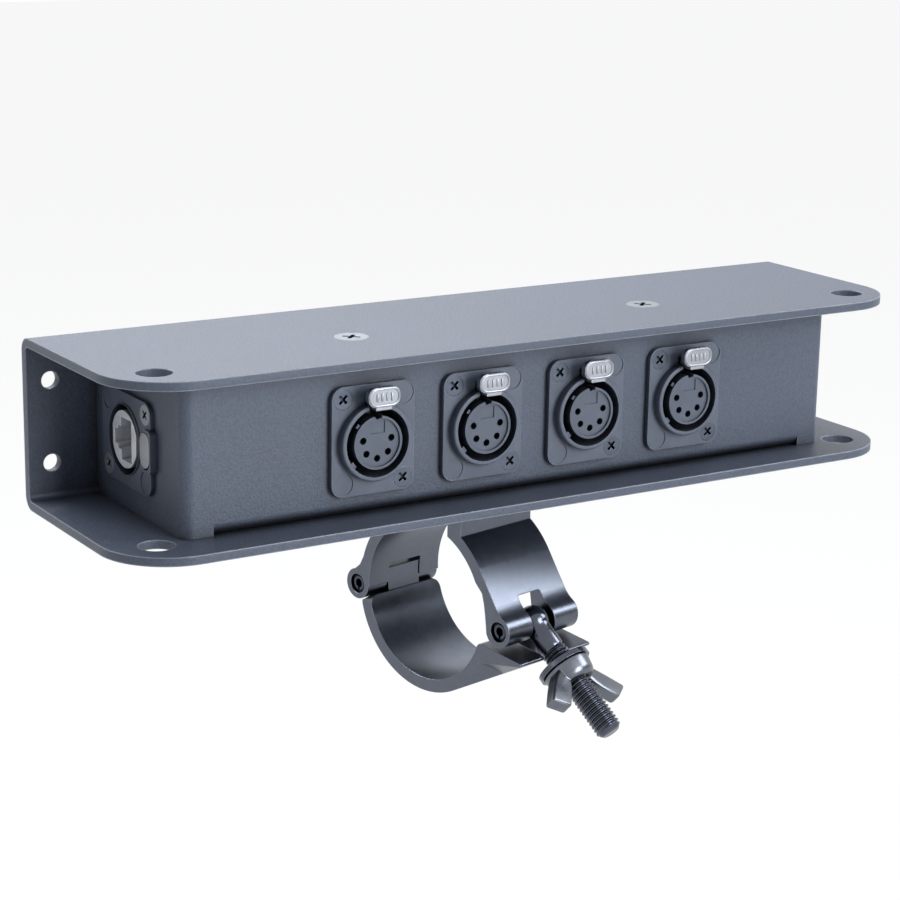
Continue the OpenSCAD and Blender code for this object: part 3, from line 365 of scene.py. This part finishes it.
# %% Zinc, nickel, gold and steel for the fasteners and contacts
FASTENERS = {
    "screw_silver": dict(colour=(0.24, 0.253, 0.28), roughness=0.36),
    "screw_grey": dict(colour=(0.32, 0.34, 0.38), roughness=0.4),
    "screw_dark": dict(colour=(0.1, 0.115, 0.145), roughness=0.36, edge_radius=0.2),
    "nut_zinc": dict(colour=(0.55, 0.56, 0.56), roughness=0.42),
    "latch_pin_steel": dict(colour=(0.45, 0.45, 0.47), roughness=0.35),
    "mount_steel": dict(colour=(0.5, 0.51, 0.53), roughness=0.36),
    # Painted shade: the contacts sit deep in their holes, and their colour is set far darker than gold to stand
    # for the shade there.
    "contact_gold": dict(colour=(0.13, 0.125, 0.11), roughness=0.3),
    "tab_nickel": dict(colour=(0.36, 0.375, 0.41), roughness=0.28, scratch=0.7, squeeze=(1.0, 1.0, 6.0),
                       edge_radius=0.3, depth=0.01),
    "jack_metal": dict(colour=(0.93, 0.94, 0.96), roughness=0.34, scratch=0.3, squeeze=(1.0, 6.0, 1.0),
                       edge_radius=0.2, depth=0.012, metallic=0.5),
}
for name, recipe in FASTENERS.items():
    finishes[name] = plated(name, **recipe)
print("fasteners and contacts:", ", ".join(FASTENERS))

# %% Black chrome and black steel for the coupler
COUPLER_METALS = {
    "coupler_black": dict(colour=(0.125, 0.139, 0.168), roughness=0.3, scratch=0.35, squeeze=(10.0, 1.0, 1.0),
                          edge_radius=0.4, depth=0.006),
    "rolled_pin_steel": dict(colour=(0.07, 0.08, 0.11), roughness=0.26, scratch=0.6, squeeze=(6.0, 1.0, 1.0)),
    "bolt_black": dict(colour=(0.09, 0.1, 0.125), roughness=0.2, scratch=0.3, edge_radius=0.1),
    "washer_black": dict(colour=(0.09, 0.1, 0.125), roughness=0.2, scratch=0.3, edge_radius=0.2),
    "wing_black": dict(colour=(0.16, 0.171, 0.197), roughness=0.26, scratch=0.6, edge_radius=0.3),
}
for name, recipe in COUPLER_METALS.items():
    finishes[name] = plated(name, **recipe)
print("coupler metals:", ", ".join(COUPLER_METALS))

# %% [markdown]
# ## Put each finish on its nodes
# On the real object every piece is finished before it is put together. Here the record names a
# material slot for each node, so one loop dresses the whole frame, and no piece is forgotten as
# it could be by hand. The mesh keeps its shape; only what stands in its slot changes.

# %% Dress the frame
slot_of = {part["node"]: part["material_slot"] for part in frame["record"]["subparts"]}
for name, node in nodes.items():
    node.data.materials.clear()
    node.data.materials.append(finishes[slot_of[name]].material)
print("finishes in use:", len(set(slot_of.values())))

# %% [markdown]
# ## Making new pieces
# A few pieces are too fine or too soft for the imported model: a climbing thread, a forged wing,
# a thumb grip. They could be sculpted or cut with modifiers. Points and faces worked out in
# code stay exact, so each is written as lists and handed to one function. That function makes
# the object, turns its faces outward, smooths it and lets it ride on the body that carries it.

# %% From points and faces to a piece
SAME_POINT = 1e-7


def cleaned(mesh):
    """The mesh as a bmesh, with doubled points merged and its faces turned outward."""
    shape = bmesh.new()
    shape.from_mesh(mesh)
    bmesh.ops.remove_doubles(shape, verts=shape.verts, dist=SAME_POINT)
    bmesh.ops.recalc_face_normals(shape, faces=shape.faces)
    return shape


def make_piece(name, points, faces, place, body, slot, smooth):
    """A new piece in its place, smooth up to an angle in degrees, riding on its body."""
    mesh = bpy.data.meshes.new(name)
    mesh.from_pydata([place @ Vector(point) for point in points], [], faces)
    piece = bpy.data.objects.new(name, mesh)
    bpy.context.scene.collection.objects.link(piece)
    shape = cleaned(mesh)
    shape.to_mesh(mesh)
    shape.free()
    for face in mesh.polygons:
        face.use_smooth = True
    mesh.set_sharp_from_angle(angle=math.radians(smooth))
    mesh.materials.append(finishes[slot].material)
    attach(piece, body)
    print("made", name, "with", len(mesh.polygons), "faces")
    return piece


# %% [markdown]
# Most machined shapes are a skin over a row of outlines. On a lathe the outlines are circles,
# and on a forged bar they are rounded rectangles. A loft joins each outline to the next one, and
# then either closes the row into a ring or caps its two ends.

# %% Loft and ring
def loft(rings, closed=False):
    """Points and faces of a skin over rings that all have the same number of points."""
    count = len(rings[0])
    points = [point for ring in rings for point in ring]
    faces = []
    for row in range(len(rings) - (0 if closed else 1)):
        here = row * count
        there = (row + 1) % len(rings) * count
        for k in range(count):
            after = (k + 1) % count
            faces.append((here + k, here + after, there + after, there + k))
    if not closed:
        faces.append(tuple(reversed(range(count))))
        faces.append(tuple(range(len(points) - count, len(points))))
    return points, faces


def ring_of(radius, height, steps):
    """A level circle of points, from a radius and a height in millimetres."""
    ring = []
    for k in range(steps):
        turn = 2 * math.pi * k / steps
        ring.append((radius * MM * math.cos(turn), radius * MM * math.sin(turn), height * MM))
    return ring


def joined(*parts):
    """Several lists of points and faces as one."""
    points, faces = [], []
    for more_points, more_faces in parts:
        faces += [tuple(k + len(points) for k in face) for face in more_faces]
        points += more_points
    return points, faces


small_points, small_faces = loft([ring_of(1.0, 0.0, 6), ring_of(1.0, 1.0, 6)])
print("two rings of six make", len(small_points), "points and", len(small_faces), "faces")

# %% [markdown]
# ## The swing bolt
# The bolt that shuts the coupler has a round eye on a pin and a long thread. It is drawn along
# its own Z axis, and then set in place. That place could be typed in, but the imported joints
# already hold it: the nut travels along the bolt, and the bolt swings about its pin.

# %% Where the bolt lies
swing = joints["bolt_swing"]
travel = joints["nut_travel"]
bolt_z = Vector(travel["axis"]).normalized()
bolt_x = Vector(swing["axis"]).normalized()
bolt_y = bolt_z.cross(bolt_x)
bolt_place = Matrix((bolt_x, bolt_y, bolt_z)).transposed().to_4x4()
bolt_place.translation = Vector(swing["pos_m"])


def along_bolt(name):
    """How far along the bolt each point of a node is, in metres."""
    return [(bolt_place.inverted() @ vertex.co).z for vertex in nodes[name].data.vertices]


bolt_tip = max(along_bolt("swing_bolt")) / MM
print("the bolt reaches", round(bolt_tip, 2), "mm from its pin")

# %% [markdown]
# A real thread climbs: each turn rises by one pitch. A stack of plain rings would look right
# from afar but wrong close by, so here the rows of the mesh follow the helix. Every row has the
# same height on the ridge all the way round, which keeps the crest a clean line, and at the end
# of its turn a row is joined to the one that lies a pitch above it.

# %% The threaded shank
BOLT_D = 8.0
PITCH = 1.25
THREAD_DEEP = 0.68
THREAD_START = 10.5
THREAD_FADES_IN = 1.2
TIP_CHAMFER = 1.3
BOLT_STEPS = 64
ROWS_A_PITCH = 10
FLANK = 0.36
ROOT = 0.2 * FLANK


def ridge(share):
    """Height of the thread, 0 to 1, at a share of the pitch: root, flank, crest and flank."""
    return max(0.0, min(1.0, (0.5 - abs(share - 0.5) - ROOT) / FLANK))


def thread_point(row, k, end):
    """One point of the helix, on a row and a step round, held inside the chamfered tip."""
    climbed = (row / ROWS_A_PITCH + k / BOLT_STEPS) * PITCH
    height = min(end, max(THREAD_START, THREAD_START + climbed))
    fade = min(1.0, (height - THREAD_START) / THREAD_FADES_IN)
    radius = BOLT_D / 2 - THREAD_DEEP + THREAD_DEEP * ridge(row / ROWS_A_PITCH % 1.0) * fade
    radius = min(radius, BOLT_D / 2 + end - TIP_CHAMFER - height)
    turn = 2 * math.pi * k / BOLT_STEPS
    return radius * MM * math.cos(turn), radius * MM * math.sin(turn), height * MM


def threaded(end):
    """Points and faces of a right-handed thread along Z, up to its flat end."""
    turns = math.ceil((end - THREAD_START) / PITCH) + 1
    rows = range(-ROWS_A_PITCH, turns * ROWS_A_PITCH + 1)
    points = [thread_point(row, k, end) for row in rows for k in range(BOLT_STEPS)]
    faces = []
    for row in range(len(rows) - 1):
        for k in range(BOLT_STEPS):
            low = row * BOLT_STEPS + k
            beside = low + 1 if k < BOLT_STEPS - 1 else (row + ROWS_A_PITCH) * BOLT_STEPS
            if beside + BOLT_STEPS < len(points):
                faces.append((low, beside, beside + BOLT_STEPS, low + BOLT_STEPS))
    faces.append(tuple(range(len(points) - BOLT_STEPS, len(points))))
    return points, faces


shank = threaded(bolt_tip)
print("turns on the shank:", round((bolt_tip - THREAD_START) / PITCH, 1))

# %% [markdown]
# The eye is a ball that was pressed flat on both sides, with a smooth neck that runs up to the
# thread. A lathed outline gives the ball and the neck, and the cheeks come from holding every
# point between two planes, which needs no cutting tool.

# %% The eye, and the whole bolt
EYE_R = 4.9
EYE_HALF_WIDTH = 4.2
EYE_STEPS = 30
EYE_LAST_STEP = 24
NECK_R = 3.7
NECK = [(NECK_R + 0.15, 4.0), (NECK_R, 5.2), (NECK_R, 10.0), (3.35, 10.7)]


def bolt_eye():
    """Points and faces of the eye and its neck."""
    outline = []
    for k in range(1, EYE_LAST_STEP + 1):
        lean = math.pi * k / EYE_STEPS
        radius = EYE_R * math.sin(lean)
        height = -EYE_R * math.cos(lean)
        if height < 0 or radius > NECK_R:
            outline.append((radius, height))
    points, faces = loft([ring_of(radius, height, BOLT_STEPS) for radius, height in outline + NECK])
    cheek = EYE_HALF_WIDTH * MM
    return [(max(-cheek, min(cheek, x)), y, z) for x, y, z in points], faces


bolt = make_piece("swing_bolt_thread", *joined(bolt_eye(), shank), bolt_place, "bolt", "bolt_black",
                  smooth=50.0)
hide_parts("swing_bolt")

# %% [markdown]
# ## The wing nut
# A wing nut is forged: a turned hub with two stout bars that lean outward, with soft corners and
# blunt ends. It could be modelled as a block and subdivided, but then its faces drift from their
# sizes. So the hub is a lathed outline, given as radius and height in millimetres.

# %% The hub
WING_TURN = math.radians(-12.6)
HUB_R = 7.5
HUB_H = 5.8
BORE_R = 4.12
HUB_STEPS = 72
HUB_OUTLINE = [
    (BORE_R, 0.0),
    (HUB_R - 0.3, 0.0),
    (HUB_R, 0.3),
    (HUB_R, 0.9),
    (HUB_R - 0.25, 2.0),
    (HUB_R - 0.5, 3.6),
    (HUB_R - 0.8, 4.5),
    (HUB_R - 1.5, 5.3),
    (HUB_R - 2.4, HUB_H - 0.05),
    (HUB_R - 3.0, HUB_H - 0.1),
    (BORE_R, HUB_H - 0.7),
]
hub = loft([ring_of(radius, height, HUB_STEPS) for radius, height in HUB_OUTLINE], closed=True)
print("the hub has", len(hub[0]), "points")

# %% [markdown]
# Each wing is a loft: a rounded rectangle that is carried along the leaning bar, thick where it
# grows out of the hub, and wider and flatter further out. The cut leans with the distance, so
# that the end is sheared. Its last two outlines shrink, which rounds off the tip.

# %% The wings, and the whole nut
WING_LEAN = math.radians(47.6)
WING_ROOT_X = 4.4
WING_ROOT_Z = 1.9
CORNER_STEPS = 5
ALONG_X = Vector((1.0, 0.0, 0.0))
ALONG_Y = Vector((0.0, 1.0, 0.0))
ALONG_Z = Vector((0.0, 0.0, 1.0))
# Millimetres along the bar, half width, half thickness, corner radius, and the cut's lean.
WING_STATIONS = [
    (0.0, 2.0, 2.5, 0.9, 0.0),
    (2.5, 2.5, 2.35, 0.9, 0.0),
    (5.5, 3.0, 2.1, 0.7, 0.1),
    (9.0, 3.2, 2.0, 0.6, 0.25),
    (14.3, 3.25, 2.0, 0.6, 0.37),
    (14.9, 3.1, 1.85, 0.6, 0.37),
    (15.2, 2.7, 1.5, 0.6, 0.37),
]


def rounded_bar(centre, across, beside, half_across, half_beside, corner):
    """A rounded rectangle of points round centre, in the plane of two directions."""
    ring = []
    for quarter, (right, up) in enumerate(((1, 1), (-1, 1), (-1, -1), (1, -1))):
        for k in range(CORNER_STEPS + 1):
            turn = math.pi / 2 * (quarter + k / CORNER_STEPS)
            u = right * (half_across - corner) + corner * math.cos(turn)
            v = up * (half_beside - corner) + corner * math.sin(turn)
            ring.append(tuple((centre + across * u + beside * v) * MM))
    return ring


def wing(side):
    """Points and faces of one wing: side is 1 or -1."""
    along = Vector((side * math.sin(WING_LEAN), 0.0, math.cos(WING_LEAN)))
    across = Vector((side * math.cos(WING_LEAN), 0.0, -math.sin(WING_LEAN)))
    root = Vector((side * WING_ROOT_X, 0.0, WING_ROOT_Z))
    rings = []
    for far, wide, thick, corner, cut in WING_STATIONS:
        rings.append(rounded_bar(root + along * far, across + along * cut, ALONG_Y, wide, thick, corner))
    return loft(rings)


nut_low = min(along_bolt("wing_nut"))
nut_place = bolt_place @ Matrix.Translation((0.0, 0.0, nut_low)) @ Matrix.Rotation(WING_TURN, 4, "Z")
nut = make_piece("wing_nut_forged", *joined(hub, wing(1), wing(-1)), nut_place, "nut", "wing_black",
                 smooth=40.0)
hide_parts("wing_nut")
print("the nut stands", round(nut_low / MM, 2), "mm from the bolt's pin")

# %% [markdown]
# ## Grips on the push tabs
# Each tab has a raised rim and short ribs, so that a thumb finds it. A bump in the finish would
# shade like them but leave the tab's edge straight, so they are real steps of about a quarter of
# a millimetre. Both are lofts of rounded outlines: the rim goes up outside and comes down inside,
# and a rib closes over its top.

# %% A raised outline
FOOT_SUNK = 0.1
TOP_DRAWN_IN = 0.12
WALL_SHARE = 0.6
END_FLAT = 0.02


def raised(middle, half_x, half_z, high, inner=0.0):
    """A raised outline on a face that looks along -Y: a rim where inner is given, else a pad."""
    steps = [(0.0, -FOOT_SUNK), (0.0, high * WALL_SHARE), (TOP_DRAWN_IN, high)]
    if inner:
        steps += [(inner - TOP_DRAWN_IN, high), (inner, high * WALL_SHARE), (inner, -FOOT_SUNK)]
    rings = []
    for inset, up in steps:
        wide = half_x - inset
        tall = half_z - inset
        corner = min(wide, tall) - END_FLAT
        rings.append(rounded_bar(middle - ALONG_Y * up, ALONG_X, ALONG_Z, wide, tall, corner))
    return loft(rings, closed=bool(inner))


print("a rib has", len(raised(ALONG_X, 1.0, 1.0, 1.0)[1]), "faces")

# %% Rims and ribs on the four tabs
RIM_W = 0.55
GRIP_H = 0.28
GRIP_INSET = 0.1
RIB_W = 0.55
RIB_L = 2.3
RIB_PLACES = (-2.25, -0.75, 0.75, 2.25)
TAB_W = 9.9
TAB_H = 5.4
tab_size = Vector((TAB_W, 0.0, TAB_H))
for number in (1, 2, 3, 4):
    corners = [vertex.co / MM for vertex in nodes[f"outlet_{number}_latch"].data.vertices]
    right = max(corner.x for corner in corners)
    front = min(corner.y for corner in corners)
    top = max(corner.z for corner in corners)
    middle = Vector((right, front, top)) - tab_size / 2
    grip = [raised(middle, tab_size.x / 2 - GRIP_INSET, tab_size.z / 2 - GRIP_INSET, GRIP_H, RIM_W)]
    for place in RIB_PLACES:
        grip.append(raised(middle + ALONG_X * place, RIB_W / 2, RIB_L / 2, GRIP_H))
    make_piece(f"tab_{number}_grip", *joined(*grip), Matrix.Identity(4), f"tab_{number}", "tab_nickel",
               smooth=50.0)

# %% [markdown]
# ## Camera
# The photograph was taken from the left front, a little above, with a long lens. A camera can be
# set by eye, but the eye is poor at telling a near wide view from a far narrow one. So the place,
# the turn and the lens were solved from the object's own edges, and they are written as they
# came out.

# %% Camera
EYE_AT = Vector((-0.36562, -0.57374, 0.22572))
LOOK = Vector((0.515141, 0.817430, -0.257754))
RIGHT = Vector((0.848372, -0.529110, 0.017541))
camera = bpy.data.objects.new("camera", bpy.data.cameras.new("camera"))
bpy.context.scene.collection.objects.link(camera)
sideways = (RIGHT - LOOK * RIGHT.dot(LOOK)).normalized()
upward = sideways.cross(LOOK).normalized()
turned = Matrix((sideways, upward, -LOOK.normalized())).transposed().to_4x4()
turned.translation = EYE_AT
camera.matrix_world = turned
camera.data.sensor_width = 36.0
camera.data.lens = 93.949
camera.data.clip_start = 0.01
bpy.context.scene.camera = camera
print("camera is", round(EYE_AT.length, 3), "m from the middle of the tube seat")

# %% [markdown]
# ## Light
# Black paint shows its surroundings more than its own colour. Small lamps would give hard bright
# spots, so four large soft panels give broad, even reflections instead. The top panel stands
# above and behind, the front one lights the faces that look forward, the arm one stands high at
# the right for the coupler's rounded arms, and a faint one stands at the left for the end.

# %% Panels
def panel(name, spot, aim, size, power, colour=(0.93, 0.96, 1.0)):
    """A soft rectangular lamp: metres for its spot, aim and size, and watts for its power."""
    lamp = bpy.data.objects.new(name, bpy.data.lights.new(name, "AREA"))
    lamp.data.shape = "RECTANGLE"
    lamp.data.size = size[0]
    lamp.data.size_y = size[1]
    lamp.data.energy = power
    lamp.data.color = colour
    lamp.location = spot
    lamp.rotation_euler = (Vector(aim) - Vector(spot)).to_track_quat("-Z", "Y").to_euler()
    bpy.context.scene.collection.objects.link(lamp)


PANELS = {
    "panel_top": dict(spot=(-0.05, 0.65, 1.1), aim=(0.0, 0.0, 0.05), size=(1.4, 1.0), power=31.0),
    "panel_front": dict(spot=(0.55, -1.38, 0.45), aim=(0.0, 0.0, 0.02), size=(0.8, 0.9), power=26.0),
    "panel_arm": dict(spot=(1.15, -0.52, 0.74), aim=(0.0, 0.0, 0.0), size=(0.6, 0.6), power=10.0),
    "panel_left": dict(spot=(-1.2, 0.1, 0.6), aim=(0.0, 0.0, 0.04), size=(0.8, 0.7), power=1.8),
}
for name, set_up in PANELS.items():
    panel(name, **set_up)
print("panels:", ", ".join(PANELS))

# %% [markdown]
# ## A black flag
# Black chrome looks black only where it has something dark to mirror. Photographers stand a
# sheet of black cloth, a flag, beside the object, out of the picture. It is done the same way
# here, rather than by painting dark bands on the coupler, so the bands move as the object turns.
# The flag is part of the studio, and the camera doesn't see it.

# %% The flag
def board(name, corners):
    """A flat sheet with four corners, for the studio."""
    mesh = bpy.data.meshes.new(name)
    mesh.from_pydata(corners, [], [(0, 1, 2, 3)])
    made = bpy.data.objects.new(name, mesh)
    bpy.context.scene.collection.objects.link(made)
    return made


FLAG_NEAR = (0.55, -1.0)
FLAG_FAR = (1.25, -0.3)
FLAG_LOW = -0.02
FLAG_HIGH = 0.42
flag = board("black_flag", [(*FLAG_NEAR, FLAG_LOW), (*FLAG_FAR, FLAG_LOW),
                            (*FLAG_FAR, FLAG_HIGH), (*FLAG_NEAR, FLAG_HIGH)])
flag.visible_camera = False
flag.data.materials.append(Finish("flag_cloth", (0.004, 0.004, 0.005), 1.0).material)
print("the flag is", FLAG_HIGH - FLAG_LOW, "m high")

# %% [markdown]
# ## White paper behind and below
# A product photograph stands on white paper. Turning up the lamps until the paper clips would
# also wash out the object. Instead the world and the floor are white for the rays that come from
# the camera, from a gloss or through a clear piece, and only a faint blue fill for the rays that
# light the object. The floor keeps a share of its real surface, so the shadow still falls on it.

# %% World
WHITE = (1.0, 1.0, 1.0)
FILL = 0.12
FILL_BLUE = (0.5, 0.68, 1.0)


def paper_rays(wiring):
    """1 for a ray that should meet white paper, and 0 for one that carries light."""
    seen = wiring.node("ShaderNodeLightPath", out="Is Camera Ray")
    for kind in ("Is Glossy Ray", "Is Transmission Ray"):
        seen = seen.larger(wiring.node("ShaderNodeLightPath", out=kind))
    return seen


world = bpy.data.worlds.new("studio")
bpy.context.scene.world = world
world.use_nodes = True
background = world.node_tree.nodes["Background"]
studio = Wiring(world.node_tree)
seen = paper_rays(studio)
feed(background.inputs["Strength"], seen * (1.0 - FILL) + FILL)
feed(background.inputs["Color"], studio.mix(seen, FILL_BLUE, WHITE))
print("the world lights the object at", FILL)

# %% Floor
FLOOR_Z = -0.30
FLOOR_HALF = 6.0
PAPER_SHARE = 0.92
floor = board("floor", [(-FLOOR_HALF, -FLOOR_HALF, FLOOR_Z), (FLOOR_HALF, -FLOOR_HALF, FLOOR_Z),
                        (FLOOR_HALF, FLOOR_HALF, FLOOR_Z), (-FLOOR_HALF, FLOOR_HALF, FLOOR_Z)])
paper = Finish("floor", (0.82, 0.83, 0.85), 0.9)
glow = paper.node("ShaderNodeEmission", values={"Color": colour4(WHITE)})
lit = Field(paper.shader.outputs[0])
both = paper.node("ShaderNodeMixShader", values={0: paper_rays(paper) * PAPER_SHARE, 1: lit, 2: glow})
feed(paper.tree.nodes["Material Output"].inputs["Surface"], both)
floor.data.materials.append(paper.material)
bpy.context.scene.view_settings.view_transform = "Standard"
print("floor at", FLOOR_Z, "m")

# %% [markdown]
# ## Finish

# %% Finish
print("the scene is dressed")
